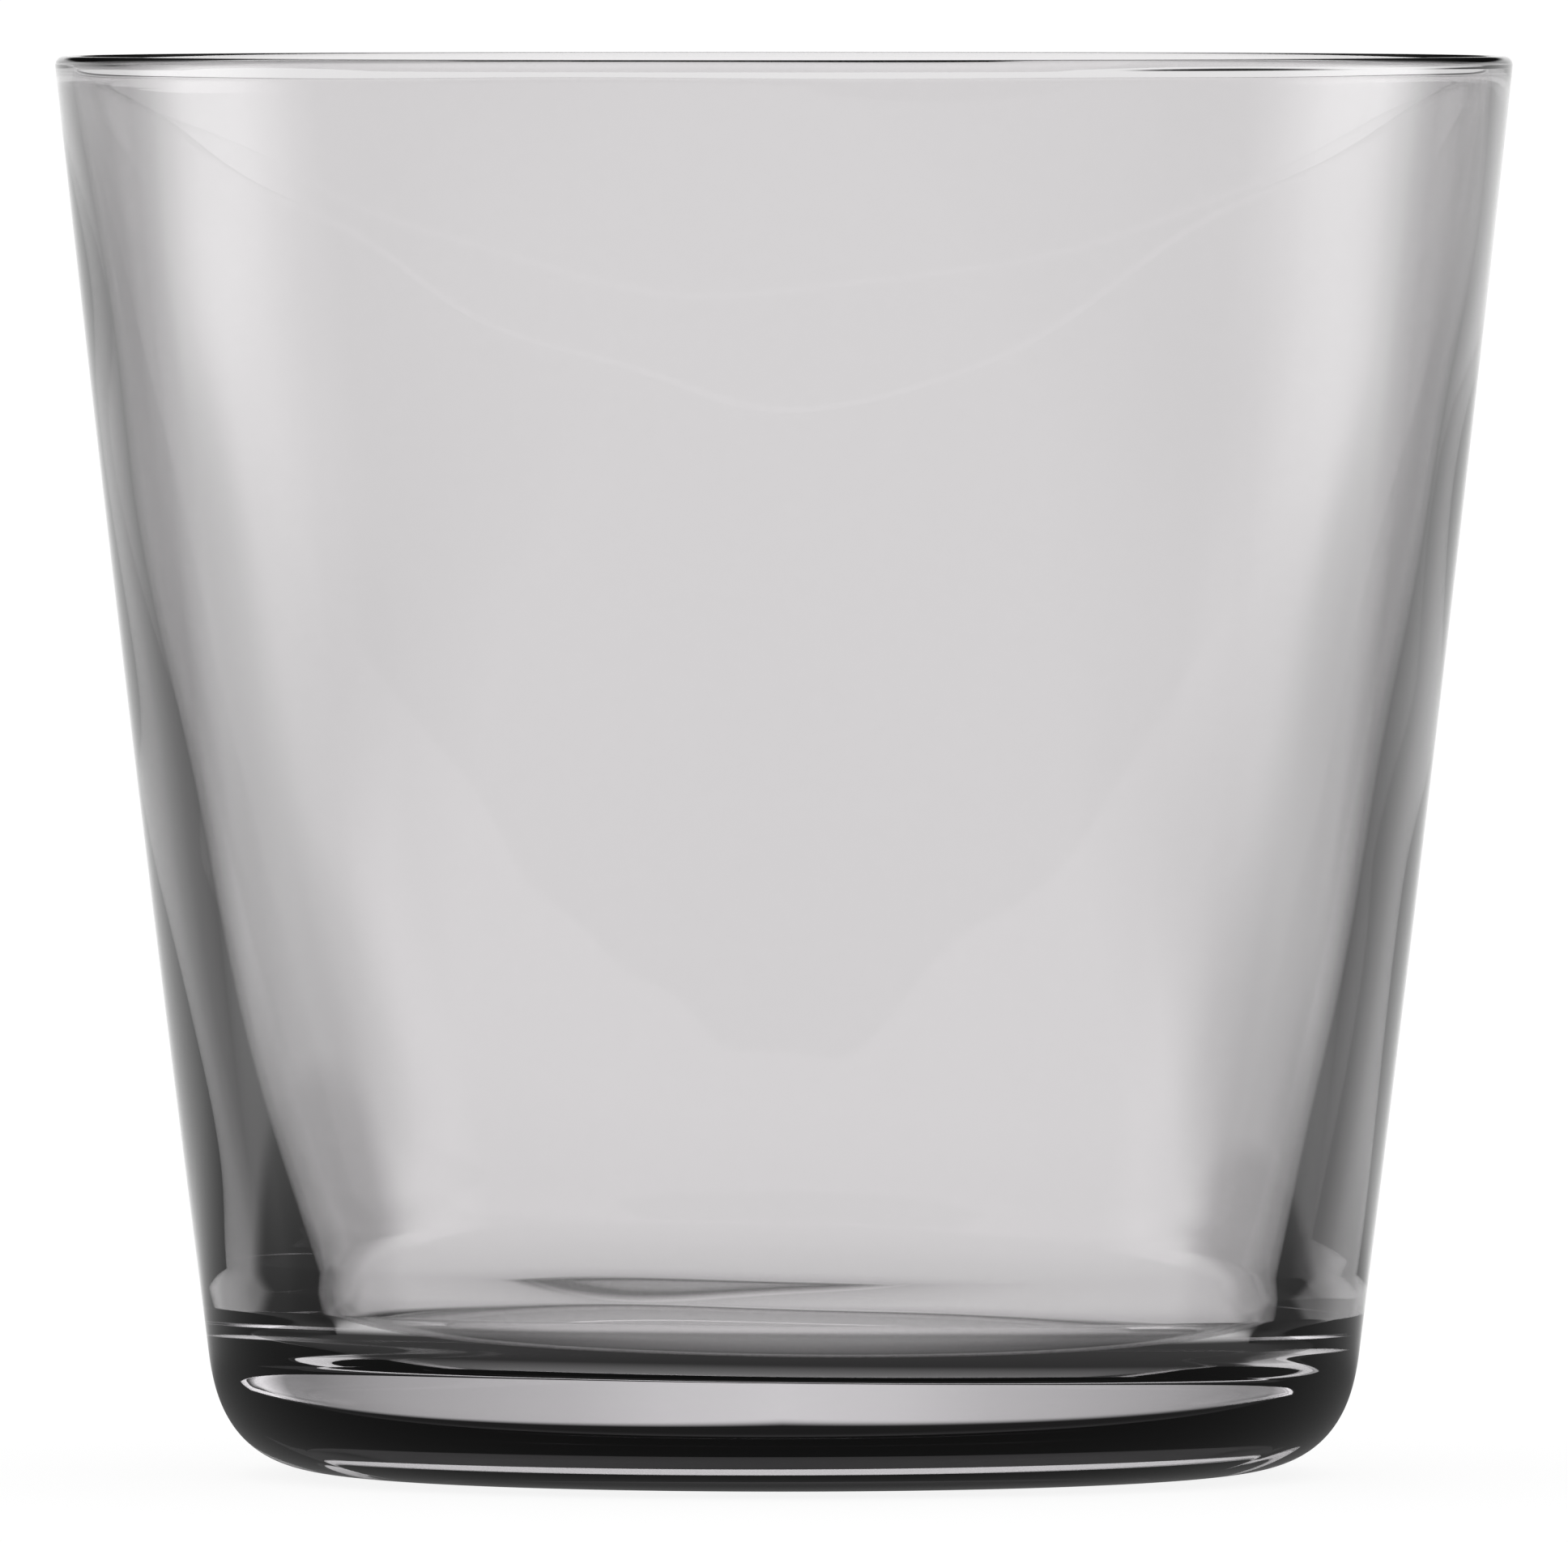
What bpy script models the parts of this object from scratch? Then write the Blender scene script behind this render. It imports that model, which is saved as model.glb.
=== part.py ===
"""Whiskey tumbler: one turned piece of pressed and fire-polished glass.

Metres, +Z up. The origin is at the middle of the plane that the tumbler stands on.
"""

import math

import bpy

# Outside
HEIGHT = 0.0883
RIM_RADIUS = 0.0455            # the outer wall, carried up to the top
WALL_FOOT_RADIUS = 0.0360      # outside of the wall where the heel starts
WALL_BULGE = 0.0002            # how far the wall stands proud of a straight cone, half way up
HEEL_HEIGHT = 0.0083
HEEL_WIDTH = 0.0101            # how far the heel turns in, from the wall to the standing ring
HEEL_SQUARENESS = 2.95         # exponent of the heel's superellipse: 2 is an ellipse

# Underside
RING_WIDTH = 0.0040            # flat band that the tumbler stands on
PUNT_DEPTH = 0.0003            # shallow dome inside the standing ring

# Inside
LIP_THICKNESS = 0.0013         # the wall just below the lip
LIP_BEAD = 0.00015             # fire polishing leaves the lip itself this much thicker
LIP_BEAD_HEIGHT = 0.0009
LIP_EDGE_RADIUS = 0.0006
WALL_GAIN = 0.0063             # how much thicker the wall would be at the very bottom
WALL_GAIN_POWER = 2.0          # it thickens slowly below the lip and faster near the floor
FLOOR_HEIGHT = 0.0074          # top of the solid base, at the middle
FLOOR_FALL = 0.00015           # the floor is this much lower at the corner than in the middle
CORNER_RADIUS = 0.0046         # between the inner wall and the floor

STEPS_ROUND = 96
MERGE_DISTANCE = 0.00001

RING_OUTER_RADIUS = WALL_FOOT_RADIUS - HEEL_WIDTH
RING_INNER_RADIUS = RING_OUTER_RADIUS - RING_WIDTH


def fractions(count, start=0.0, end=1.0):
    """count + 1 evenly spaced numbers from start to end."""
    return [start + (end - start) * i / count for i in range(count + 1)]


def outer_radius(z):
    """Outside of the wall at height z, carried straight down through the heel."""
    depth = (HEIGHT - z) / (HEIGHT - HEEL_HEIGHT)
    cone = RIM_RADIUS + (WALL_FOOT_RADIUS - RIM_RADIUS) * depth
    return cone + WALL_BULGE * 4 * depth * max(0.0, 1 - depth)


def inner_radius(z):
    """Inside of the wall at height z."""
    depth = HEIGHT - z
    wall = LIP_THICKNESS + WALL_GAIN * (depth / HEIGHT) ** WALL_GAIN_POWER
    bead = LIP_BEAD * math.exp(-((depth / LIP_BEAD_HEIGHT) ** 2))
    return outer_radius(z) - wall - bead


def lip():
    """The rounded lip, from the inside to the outside, with a narrow flat on top."""
    edge_z = HEIGHT - LIP_EDGE_RADIUS
    inner_middle = inner_radius(edge_z) + LIP_EDGE_RADIUS
    outer_middle = outer_radius(edge_z) - LIP_EDGE_RADIUS
    points = []
    for middle, start, end in ((inner_middle, 1.0, 0.5), (outer_middle, 0.5, 0.0)):
        for turn in fractions(4, start * math.pi, end * math.pi):
            r = middle + LIP_EDGE_RADIUS * math.cos(turn)
            points.append((r, edge_z + LIP_EDGE_RADIUS * math.sin(turn)))
    return points


def outer_wall():
    top = HEIGHT - LIP_EDGE_RADIUS
    return [(outer_radius(z), z) for z in fractions(8, top, HEEL_HEIGHT)][1:]


def heel():
    """A quarter superellipse, sheared by the wall's taper, down to the standing ring."""
    power = 2 / HEEL_SQUARENESS
    points = []
    for turn in fractions(10, 0.0, math.pi / 2)[1:]:
        z = HEEL_HEIGHT * (1 - math.sin(turn) ** power)
        inset = HEEL_WIDTH * (1 - max(0.0, math.cos(turn)) ** power)
        taper = (outer_radius(HEEL_HEIGHT) - outer_radius(z)) * math.cos(turn)
        points.append((WALL_FOOT_RADIUS - inset - taper, z))
    return points


def underside():
    """The standing ring and the shallow dome inside it, out to in."""
    dome = [
        (RING_INNER_RADIUS * math.cos(turn), PUNT_DEPTH * math.sin(turn))
        for turn in fractions(4, 0.0, math.pi / 2)
    ]
    return dome[:-1] + [(0.0, PUNT_DEPTH)]


def floor_and_corner():
    """From the middle of the floor out to the foot of the inner wall."""
    corner_top = FLOOR_HEIGHT - FLOOR_FALL + CORNER_RADIUS
    slope = (inner_radius(corner_top + 0.001) - inner_radius(corner_top)) / 0.001
    lean = math.atan(slope)
    centre_z = corner_top
    centre_r = inner_radius(centre_z) - CORNER_RADIUS
    corner = [
        (centre_r + CORNER_RADIUS * math.cos(a), centre_z - CORNER_RADIUS * math.sin(a))
        for a in fractions(9, math.pi / 2, lean)
    ]
    floor = [
        (centre_r * t, FLOOR_HEIGHT - FLOOR_FALL * t * t) for t in fractions(3)
    ][:-1]
    return floor + corner


def inner_wall(start_z):
    """Up the inner wall in long steps, then in short ones round the bead of the lip."""
    bead_z = HEIGHT - 2 * LIP_BEAD_HEIGHT
    heights = fractions(8, start_z, bead_z)[1:] + fractions(4, bead_z, HEIGHT - LIP_EDGE_RADIUS)[1:-1]
    return [(inner_radius(z), z) for z in heights]


def tumbler_profile():
    """The half section: down the outside from the lip, and back up the inside."""
    inside = floor_and_corner()
    inside += inner_wall(inside[-1][1])
    return lip() + outer_wall() + heel() + underside() + inside


def turned(name, profile, collection):
    """One closed solid: the half section turned about Z."""
    mesh = bpy.data.meshes.new(name)
    points = [(r, 0.0, z) for r, z in profile]
    edges = [(i, (i + 1) % len(points)) for i in range(len(points))]
    mesh.from_pydata(points, edges, [])
    piece = bpy.data.objects.new(name, mesh)
    collection.objects.link(piece)
    screw = piece.modifiers.new("turn", "SCREW")
    screw.axis = "Z"
    screw.angle = 2 * math.pi
    screw.steps = screw.render_steps = STEPS_ROUND
    screw.use_merge_vertices = True
    screw.merge_threshold = MERGE_DISTANCE
    screw.use_smooth_shade = True
    return piece


def smoky_glass():
    material = bpy.data.materials.new("smoky_glass")
    material.use_nodes = True
    shader = material.node_tree.nodes["Principled BSDF"]
    shader.inputs["Base Color"].default_value = (0.80, 0.79, 0.80, 1.0)
    shader.inputs["Roughness"].default_value = 0.02
    shader.inputs["Metallic"].default_value = 0.0
    shader.inputs["IOR"].default_value = 1.52
    shader.inputs["Transmission Weight"].default_value = 1.0
    return material


def main():
    for leftover in list(bpy.data.objects):
        bpy.data.objects.remove(leftover)
    collection = bpy.data.collections.new("whiskey_tumbler")
    bpy.context.scene.collection.children.link(collection)
    tumbler = turned("glass_tumbler", tumbler_profile(), collection)
    tumbler.data.materials.append(smoky_glass())


main()
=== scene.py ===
"""The looks of a whiskey tumbler: one turned piece of lightly smoked glass on a pale floor."""

import math

import bpy
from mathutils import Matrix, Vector


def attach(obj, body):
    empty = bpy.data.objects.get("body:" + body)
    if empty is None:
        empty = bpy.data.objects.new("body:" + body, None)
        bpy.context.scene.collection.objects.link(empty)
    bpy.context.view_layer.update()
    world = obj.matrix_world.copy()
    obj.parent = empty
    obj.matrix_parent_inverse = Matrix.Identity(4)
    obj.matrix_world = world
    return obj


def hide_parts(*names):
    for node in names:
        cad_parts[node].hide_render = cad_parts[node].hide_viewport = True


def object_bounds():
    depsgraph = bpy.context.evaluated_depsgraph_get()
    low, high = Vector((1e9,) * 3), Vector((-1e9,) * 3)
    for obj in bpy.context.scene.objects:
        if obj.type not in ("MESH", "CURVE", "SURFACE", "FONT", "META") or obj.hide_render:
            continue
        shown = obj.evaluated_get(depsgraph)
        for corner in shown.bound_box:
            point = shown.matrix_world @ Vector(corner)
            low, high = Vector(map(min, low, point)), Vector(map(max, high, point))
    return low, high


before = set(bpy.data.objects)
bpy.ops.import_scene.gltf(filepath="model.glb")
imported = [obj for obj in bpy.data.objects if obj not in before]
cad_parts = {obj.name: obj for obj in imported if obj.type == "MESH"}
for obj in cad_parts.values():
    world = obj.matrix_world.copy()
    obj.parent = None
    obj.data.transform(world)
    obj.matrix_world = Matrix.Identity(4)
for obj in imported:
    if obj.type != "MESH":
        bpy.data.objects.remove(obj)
cad_low, cad_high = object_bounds()

HEIGHT = cad_high.z - cad_low.z
RIM_RADIUS = 0.0455

# The section, in metres, as the CAD solid has it
WALL_FOOT_RADIUS = 0.0360
WALL_BULGE = 0.0002
HEEL_HEIGHT = 0.0083
HEEL_WIDTH = 0.0101
HEEL_SQUARENESS = 2.95
RING_WIDTH = 0.0040
PUNT_DEPTH = 0.0003
LIP_THICKNESS = 0.0013
LIP_BEAD = 0.00015
LIP_BEAD_HEIGHT = 0.0009
LIP_EDGE_RADIUS = 0.0006
WALL_GAIN = 0.0063
WALL_GAIN_POWER = 2.0
FLOOR_HEIGHT = 0.0074
FLOOR_FALL = 0.00015
CORNER_RADIUS = 0.0046

RING_OUTER_RADIUS = WALL_FOOT_RADIUS - HEEL_WIDTH
RING_INNER_RADIUS = RING_OUTER_RADIUS - RING_WIDTH
STEPS_ROUND = 360


def fractions(count, start=0.0, end=1.0):
    return [start + (end - start) * i / count for i in range(count + 1)]


def outer_radius(z):
    depth = (HEIGHT - z) / (HEIGHT - HEEL_HEIGHT)
    cone = RIM_RADIUS + (WALL_FOOT_RADIUS - RIM_RADIUS) * depth
    return cone + WALL_BULGE * 4 * depth * max(0.0, 1 - depth)


def inner_radius(z):
    depth = HEIGHT - z
    wall = LIP_THICKNESS + WALL_GAIN * (depth / HEIGHT) ** WALL_GAIN_POWER
    bead = LIP_BEAD * math.exp(-((depth / LIP_BEAD_HEIGHT) ** 2))
    return outer_radius(z) - wall - bead


def lip():
    edge_z = HEIGHT - LIP_EDGE_RADIUS
    inner_middle = inner_radius(edge_z) + LIP_EDGE_RADIUS
    outer_middle = outer_radius(edge_z) - LIP_EDGE_RADIUS
    points = []
    for middle, start, end in ((inner_middle, 1.0, 0.5), (outer_middle, 0.5, 0.0)):
        for turn in fractions(12, start * math.pi, end * math.pi):
            r = middle + LIP_EDGE_RADIUS * math.cos(turn)
            points.append((r, edge_z + LIP_EDGE_RADIUS * math.sin(turn)))
    return points


def outer_wall():
    top = HEIGHT - LIP_EDGE_RADIUS
    return [(outer_radius(z), z) for z in fractions(60, top, HEEL_HEIGHT)][1:]


def heel():
    power = 2 / HEEL_SQUARENESS
    points = []
    for turn in fractions(60, 0.0, math.pi / 2)[1:]:
        z = HEEL_HEIGHT * (1 - math.sin(turn) ** power)
        inset = HEEL_WIDTH * (1 - max(0.0, math.cos(turn)) ** power)
        taper = (outer_radius(HEEL_HEIGHT) - outer_radius(z)) * math.cos(turn)
        points.append((WALL_FOOT_RADIUS - inset - taper, z))
    return points


def underside():
    dome = [
        (RING_INNER_RADIUS * math.cos(turn), PUNT_DEPTH * math.sin(turn))
        for turn in fractions(24, 0.0, math.pi / 2)
    ]
    return dome[:-1] + [(0.0, PUNT_DEPTH)]


def floor_and_corner():
    corner_top = FLOOR_HEIGHT - FLOOR_FALL + CORNER_RADIUS
    slope = (inner_radius(corner_top + 0.001) - inner_radius(corner_top)) / 0.001
    lean = math.atan(slope)
    centre_z = corner_top
    centre_r = inner_radius(centre_z) - CORNER_RADIUS
    corner = [
        (centre_r + CORNER_RADIUS * math.cos(a), centre_z - CORNER_RADIUS * math.sin(a))
        for a in fractions(40, math.pi / 2, lean)
    ]
    floor = [
        (centre_r * t, FLOOR_HEIGHT - FLOOR_FALL * t * t) for t in fractions(24)
    ][:-1]
    return floor + corner


def inner_wall(start_z):
    bead_z = HEIGHT - 2 * LIP_BEAD_HEIGHT
    heights = fractions(60, start_z, bead_z)[1:]
    heights += fractions(16, bead_z, HEIGHT - LIP_EDGE_RADIUS)[1:-1]
    return [(inner_radius(z), z) for z in heights]


def tumbler_profile():
    """The half section, and where in it the cavity starts."""
    inside = floor_and_corner()
    inside += inner_wall(inside[-1][1])
    outside = lip() + outer_wall() + heel() + underside()
    return outside + inside, len(outside)


CAVITY_SHIFT = 0.0006          # as if the press plunger came down this far off the middle,
CAVITY_TILT = 0.012            # and leaned this much, so the floor slopes
CAVITY_TRUE_ABOVE = 0.038      # above this height the inside is true again
WAVE = 0.00003                 # the inside waves in and out by this much,
WAVE_RADIUS = 0.035            # where it is this wide


def plunger_error(x, y, z, inside):
    """Where a point of the cavity really is: a pressed glass is never quite even."""
    if not inside:
        return x, y, z
    turn = math.atan2(y, x)
    ripple = WAVE * (math.sin(2 * turn + 95 * z) + 0.7 * math.sin(5 * turn - 160 * z + 1.3)
                     + 0.4 * math.sin(9 * turn + 240 * z + 2.1))
    grow = 1 + ripple / WAVE_RADIUS
    x, y = x * grow, y * grow
    share = max(0.0, 1 - z / CAVITY_TRUE_ABOVE)
    share = share * share * (3 - 2 * share)
    return x + CAVITY_SHIFT * share, y, z - CAVITY_TILT * x * share


def turned(name, profile, inside_from):
    """One closed mesh: the half section turned about Z, with a single vertex at each pole."""
    vertices, rings = [], []
    for i, (r, z) in enumerate(profile):
        start = len(vertices)
        inside = i >= inside_from
        if r < 1e-6:
            vertices.append(plunger_error(0.0, 0.0, z, inside))
            rings.append([start])
            continue
        for k in range(STEPS_ROUND):
            a = 2 * math.pi * k / STEPS_ROUND
            vertices.append(plunger_error(r * math.cos(a), r * math.sin(a), z, inside))
        rings.append(list(range(start, start + STEPS_ROUND)))
    faces = []
    for i, ring in enumerate(rings):
        other = rings[(i + 1) % len(rings)]
        if len(ring) == 1 and len(other) == 1:
            continue
        for k in range(STEPS_ROUND):
            j = (k + 1) % STEPS_ROUND
            if len(ring) == 1:
                faces.append((ring[0], other[k], other[j]))
            elif len(other) == 1:
                faces.append((ring[k], other[0], ring[j]))
            else:
                faces.append((ring[k], other[k], other[j], ring[j]))
    mesh = bpy.data.meshes.new(name)
    mesh.from_pydata(vertices, [], faces)
    mesh.validate()
    mesh.shade_smooth()
    piece = bpy.data.objects.new(name, mesh)
    bpy.context.scene.collection.objects.link(piece)
    return piece


def glass_material():
    material = bpy.data.materials.new("smoky_glass")
    material.use_nodes = True
    nodes, links = material.node_tree.nodes, material.node_tree.links
    shader = nodes["Principled BSDF"]
    shader.inputs["Base Color"].default_value = (0.845, 0.835, 0.84, 1.0)
    shader.inputs["Roughness"].default_value = 0.0
    shader.inputs["IOR"].default_value = 1.52
    shader.inputs["Transmission Weight"].default_value = 1.0
    absorption = nodes.new("ShaderNodeVolumeAbsorption")
    absorption.inputs["Color"].default_value = (0.51, 0.48, 0.52, 1.0)
    absorption.inputs["Density"].default_value = 8.8
    links.new(absorption.outputs["Volume"], nodes["Material Output"].inputs["Volume"])
    return material


tumbler = turned("tumbler_glass", *tumbler_profile())
tumbler.data.materials.append(glass_material())
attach(tumbler, "root")
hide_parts("glass_tumbler")


# The studio, as the glass shows it. Only refracted and mirrored rays meet these levels: seen
# straight, the floor and the background are even. The levels and places down to MIRROR_NEAR
# aren't those of real lamps. They were given after brightness measured in the photograph, and
# adjusted until the render came near it, so they fit that view and show oddly from some others.
# A list called a light is (degrees from straight behind the tumbler, brightness). The backdrop is
# brightest behind the tumbler and falls off to both sides, and each side is bright again.
# On the floor these levels are painted light and shade, shown only to refracted and mirrored rays;
# in the world they are its light.
BACKDROP_LIGHT = ((0, 1.0), (8, 0.92), (15, 0.76), (24, 0.65), (32, 0.56), (45, 0.34), (52, 0.32))
SIDE_LIGHT = ((62, 1.5), (77, 1.65), (86, 1.2), (96, 0.3))
FRONT_LIGHT = ((112, 0.04), (180, 0.04))
STUDIO_LIGHT = BACKDROP_LIGHT + SIDE_LIGHT + FRONT_LIGHT
DOME_LIGHT = 1.22              # the even light that the floor is lit by

# Above the horizon. A height here is a sine.
BAND_TOP = 0.087               # the backdrop ends at this height behind the tumbler,
BAND_CLIMB = 0.6               # and higher to the sides,
BAND_CLIMB_LIMIT = 0.33        # until this share of 180 degrees
BAND_BLUR = 0.065
CEILING = 0.012                # dark,
CEILING_GLOW = 0.04            # and a little lighter between these heights
GLOW_STARTS = (0.30, 0.50)
GLOW_ENDS = (0.70, 0.85)
CEILING_LEFT = 0.3             # share of the ceiling's light that is left straight overhead
FRONT_BOX = 0.15               # a dim soft box above the camera,
FRONT_BOX_SIDES = (95, 120)    # with its soft edges in degrees from straight behind
FRONT_BOX_FOOT = (3, 12)       # and in degrees of height
FRONT_BOX_TOP = (34, 46)

# The floor as the glass refracts it, with painted light: bright behind the tumbler, falling off to
# both sides and bright again at each side
FLOOR_LIGHT = ((0, 1.0), (2, 0.95), (4, 0.78), (6, 0.64), (10, 0.56), (14, 0.48), (18, 0.40),
               (23, 0.28), (30, 0.18))
NEAR_SIDE = ((46, 0.08), (60, 0.08), (75, 0.8), (90, 1.0))
FAR_SIDE = ((41, 0.12), (47, 0.35), (56, 0.50), (66, 1.5), (80, 1.6), (90, 1.1), (100, 1.0))
FAR_STARTS, FAR_ENDS = 0.12, 0.40
GLASS_SIDE = 0.034             # rays are taken to leave the glass this far off its middle,
GLASS_BACK = -0.008            # and this far behind it

# Painted shade: a dark ellipse on the floor on each side, in refracted light only, as if a black
# card lay there
PAINTED_SHADE_SIDE, PAINTED_SHADE_BACK = 0.055, 0.003             # its middle
PAINTED_SHADE_WIDTH, PAINTED_SHADE_DEPTH = 0.022, 0.021           # its half axes
PAINTED_SHADE_EDGE = (0.6, 1.3)                          # its soft edge, as squared shares of them
PAINTED_SHADE_SHARE = 0.85                               # of the floor's light that it takes away

# Painted shade under and round the base, for refracted rays, as (millimetres from the middle,
# brightness). It is fitted to the look of the base: no lamp or real shadow makes it.
PAINTED_SHADE_UNDER_BASE = ((0, 0.65), (5, 0.62), (11, 0.53), (15, 0.44), (18, 0.30), (20, 0.22), (25, 0.10),
              (27, 0.03), (35.3, 0.05), (37, 0.75), (42, 0.88), (60, 0.95), (150, 1.0))
PAINTED_SHADE_REACH = 0.150

# The floor as the outside of the glass mirrors it, with painted light: the studio's levels far off,
# a painted shade close by
GLASS_FRONT = 0.020            # mirrored rays are taken to leave this far in front of the middle
MIRROR_STARTS, MIRROR_ENDS = 0.06, 0.25
# Painted shade: the floor's level close by in mirrored rays
MIRROR_NEAR = 0.12             # the floor's level up to where the studio's levels start


def math_node(tree, operation, first, second=None, third=None):
    node = tree.nodes.new("ShaderNodeMath")
    node.operation = operation
    for socket, value in zip(node.inputs, (first, second, third)):
        if isinstance(value, (int, float)):
            socket.default_value = value
        elif value is not None:
            tree.links.new(value, socket)
    return node.outputs[0]


def smooth_step(tree, value, start, end, low=0.0, high=1.0):
    node = tree.nodes.new("ShaderNodeMapRange")
    node.interpolation_type = "SMOOTHSTEP"
    tree.links.new(value, node.inputs["Value"])
    for name, number in (("From Min", start), ("From Max", end), ("To Min", low), ("To Max", high)):
        node.inputs[name].default_value = number
    return node.outputs["Result"]


def blend(tree, first, second, share):
    """From first to second as share goes from 0 to 1."""
    return math_node(tree, "MULTIPLY_ADD", math_node(tree, "SUBTRACT", second, first), share, first)


def ramp_of(tree, share, stops, full):
    """A socket with the brightness at a share of the full range of the stops."""
    ramp = tree.nodes.new("ShaderNodeValToRGB")
    tree.links.new(share, ramp.inputs["Fac"])
    elements = ramp.color_ramp.elements
    elements.remove(elements[1])
    for i, (place, level) in enumerate(stops):
        stop = elements[0] if i == 0 else elements.new(place / full)
        stop.position = place / full
        stop.color = (level, level, level, 1.0)
    return ramp.outputs["Color"]


def light_round(tree, side, back, stops):
    """The brightness in the direction (side, back), and that direction's share of 180 degrees."""
    share = math_node(tree, "DIVIDE", math_node(tree, "ARCTAN2", side, back), math.pi)
    return ramp_of(tree, share, stops, 180), share


def split_vector(tree, vector):
    node = tree.nodes.new("ShaderNodeSeparateXYZ")
    tree.links.new(vector, node.inputs[0])
    return node.outputs


FLOOR_ALBEDO = 0.85
FLOOR_GLOW = 0.85              # share of the floor's brightness that the tumbler casts no shade on
FLOOR_HALF_SIZE = 30.0
FLOOR_GAP = 0.0002             # between the floor and the standing ring


def painted_light_and_shade_in_glass(tree, x, y, distance):
    """The painted light and shade that the floor shows only through the glass."""
    side = math_node(tree, "ABSOLUTE", x)
    away = math_node(tree, "MAXIMUM", math_node(tree, "SUBTRACT", side, GLASS_SIDE), 0.0)
    behind = math_node(tree, "SUBTRACT", y, GLASS_BACK)
    near_level, _ = light_round(tree, away, behind, FLOOR_LIGHT + NEAR_SIDE)
    far_level, _ = light_round(tree, away, behind, FLOOR_LIGHT + FAR_SIDE)
    far = smooth_step(tree, distance, FAR_STARTS, FAR_ENDS)
    level = blend(tree, near_level, far_level, far)
    # the painted shade's dark ellipse on each side
    shade_x = math_node(tree, "DIVIDE", math_node(tree, "SUBTRACT", side, PAINTED_SHADE_SIDE), PAINTED_SHADE_WIDTH)
    shade_y = math_node(tree, "DIVIDE", math_node(tree, "SUBTRACT", y, PAINTED_SHADE_BACK), PAINTED_SHADE_DEPTH)
    shade_y_squared = math_node(tree, "MULTIPLY", shade_y, shade_y)
    painted_shade = math_node(tree, "MULTIPLY_ADD", shade_x, shade_x, shade_y_squared)
    outside_painted_shade = smooth_step(tree, painted_shade, *PAINTED_SHADE_EDGE, 1.0 - PAINTED_SHADE_SHARE, 1.0)
    # painted shade under and round the base
    reach = math_node(tree, "DIVIDE", distance, PAINTED_SHADE_REACH)
    painted_under_base = ramp_of(tree, reach, PAINTED_SHADE_UNDER_BASE, 1000 * PAINTED_SHADE_REACH)
    level = math_node(tree, "MULTIPLY", level, outside_painted_shade)
    return math_node(tree, "MULTIPLY", level, painted_under_base)


def painted_light_in_mirror(tree, x, y, distance):
    """The floor's painted light as the outside of the glass mirrors it: a painted shade, dim, close
    by.
    """
    side = math_node(tree, "SUBTRACT", math_node(tree, "ABSOLUTE", x), GLASS_SIDE)
    away = math_node(tree, "MAXIMUM", side, 0.0)
    level, _ = light_round(tree, away, math_node(tree, "ADD", y, GLASS_FRONT), STUDIO_LIGHT)
    return blend(tree, MIRROR_NEAR, level, smooth_step(tree, distance, MIRROR_STARTS, MIRROR_ENDS))


def floor_material():
    """A pale floor. Seen straight, it is even; in the glass it shows painted light and shade: the
    studio's falloff.
    """
    material = bpy.data.materials.new("stage_floor")
    material.use_nodes = True
    tree = material.node_tree
    shader = tree.nodes["Principled BSDF"]
    shader.inputs["Roughness"].default_value = 1.0
    shader.inputs["Specular IOR Level"].default_value = 0.0
    x, y, _ = split_vector(tree, tree.nodes.new("ShaderNodeTexCoord").outputs["Object"])
    squared = math_node(tree, "MULTIPLY_ADD", x, x, math_node(tree, "MULTIPLY", y, y))
    distance = math_node(tree, "SQRT", squared)

    # A refracted ray counts as glossy too
    path = tree.nodes.new("ShaderNodeLightPath").outputs
    refracted, glossy = path["Is Transmission Ray"], path["Is Glossy Ray"]
    open_glow = math_node(tree, "MULTIPLY", path["Is Camera Ray"], FLOOR_GLOW)
    lit = math_node(tree, "SUBTRACT", math_node(tree, "SUBTRACT", 1.0, open_glow), glossy)
    tree.links.new(math_node(tree, "MULTIPLY", lit, FLOOR_ALBEDO), shader.inputs["Base Color"])

    # painted light and shade on the floor, shown to refracted rays only
    painted_in_glass = math_node(tree, "MULTIPLY", painted_light_and_shade_in_glass(tree, x, y, distance), refracted)
    # painted light and shade on the floor, shown to mirrored rays only
    painted_in_mirror = math_node(tree, "MULTIPLY", painted_light_in_mirror(tree, x, y, distance),
                          math_node(tree, "SUBTRACT", glossy, refracted))
    glow = math_node(tree, "ADD", open_glow, math_node(tree, "ADD", painted_in_glass, painted_in_mirror))
    glow = math_node(tree, "MULTIPLY", glow, FLOOR_ALBEDO * DOME_LIGHT)
    shader.inputs["Emission Color"].default_value = (1, 1, 1, 1)
    tree.links.new(glow, shader.inputs["Emission Strength"])
    return material


def make_stage():
    mesh = bpy.data.meshes.new("stage_floor")
    s = FLOOR_HALF_SIZE
    mesh.from_pydata([(-s, -s, 0), (s, -s, 0), (s, s, 0), (-s, s, 0)], [], [(0, 1, 2, 3)])
    floor = bpy.data.objects.new("stage_floor", mesh)
    bpy.context.scene.collection.objects.link(floor)
    floor.location.z = -FLOOR_GAP
    mesh.materials.append(floor_material())


make_stage()


def sines(degrees):
    return [math.sin(math.radians(angle)) for angle in degrees]


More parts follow.
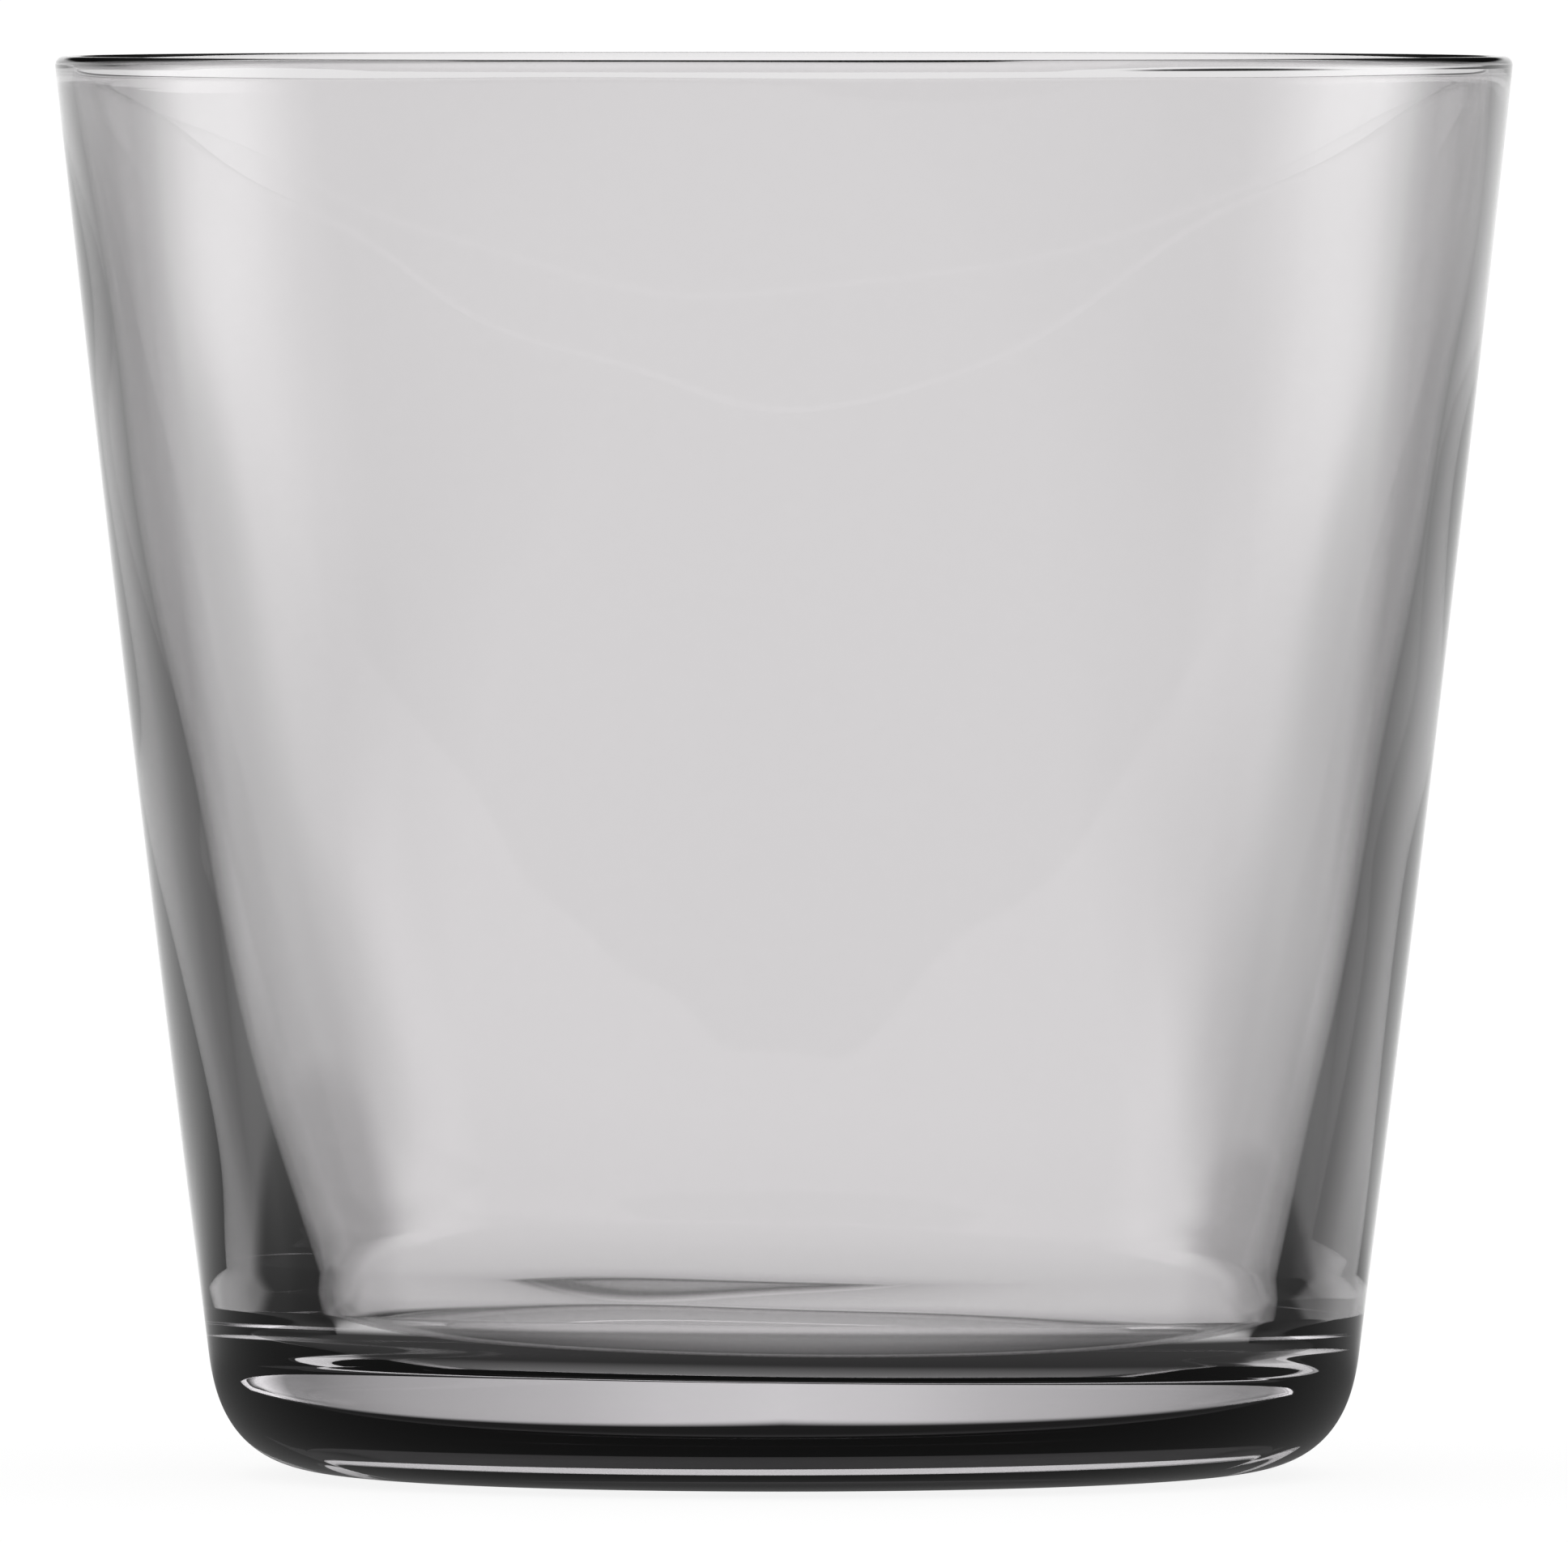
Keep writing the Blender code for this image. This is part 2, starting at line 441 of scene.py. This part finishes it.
def make_world():
    """Even light for the floor; in the glass, a bright band under a dark ceiling."""
    world = bpy.data.worlds.new("studio")
    bpy.context.scene.world = world
    world.use_nodes = True
    tree = world.node_tree
    x, y, z = split_vector(tree, tree.nodes.new("ShaderNodeTexCoord").outputs["Generated"])
    level, share = light_round(tree, math_node(tree, "ABSOLUTE", x), y, STUDIO_LIGHT)

    climb = math_node(tree, "MINIMUM", share, BAND_CLIMB_LIMIT)
    climb = math_node(tree, "MULTIPLY", climb, BAND_CLIMB)
    height = math_node(tree, "SUBTRACT", z, climb)
    fade = smooth_step(tree, height, BAND_TOP, BAND_TOP + BAND_BLUR, 1.0, 0.0)
    overhead = smooth_step(tree, z, *GLOW_STARTS, CEILING, CEILING + CEILING_GLOW)
    overhead_fade = smooth_step(tree, z, *GLOW_ENDS, 1.0, CEILING_LEFT)
    overhead = math_node(tree, "MULTIPLY", overhead, overhead_fade)
    band = math_node(tree, "MULTIPLY_ADD", level, fade, overhead)

    box_from, box_to = (angle / 180 for angle in FRONT_BOX_SIDES)
    in_front = smooth_step(tree, share, box_from, box_to, 0.0, FRONT_BOX)
    box_foot = smooth_step(tree, z, *sines(FRONT_BOX_FOOT))
    box_top = smooth_step(tree, z, *sines(FRONT_BOX_TOP), 1.0, 0.0)
    box = math_node(tree, "MULTIPLY", in_front, math_node(tree, "MULTIPLY", box_foot, box_top))
    studio = math_node(tree, "ADD", band, box)

    path = tree.nodes.new("ShaderNodeLightPath").outputs
    even = math_node(tree, "MAXIMUM", path["Is Camera Ray"], path["Is Diffuse Ray"])
    background = tree.nodes["Background"].inputs
    tree.links.new(blend(tree, studio, DOME_LIGHT, even), background["Strength"])
    background["Color"].default_value = (1, 1, 1, 1)


make_world()

# The camera
CAMERA_DISTANCE = 2.15
CAMERA_ABOVE_RIM = math.radians(0.33)
CAMERA_AIM = 0.0437
FRAME_WIDTH = 0.0978
SENSOR_WIDTH = 36.0


def make_camera():
    data = bpy.data.cameras.new("camera")
    camera = bpy.data.objects.new("camera", data)
    bpy.context.scene.collection.objects.link(camera)
    bpy.context.scene.camera = camera
    eye_z = HEIGHT + CAMERA_DISTANCE * math.tan(CAMERA_ABOVE_RIM)
    eye = Vector((0.0, -CAMERA_DISTANCE, eye_z))
    target = Vector((0.0, 0.0, CAMERA_AIM))
    camera.location = eye
    camera.rotation_euler = (target - eye).to_track_quat("-Z", "Y").to_euler()
    data.sensor_width = SENSOR_WIDTH
    data.lens = SENSOR_WIDTH * (target - eye).length / FRAME_WIDTH
    data.clip_start = 0.1
    data.clip_end = 60.0


make_camera()
bpy.context.scene.view_settings.view_transform = "Standard"
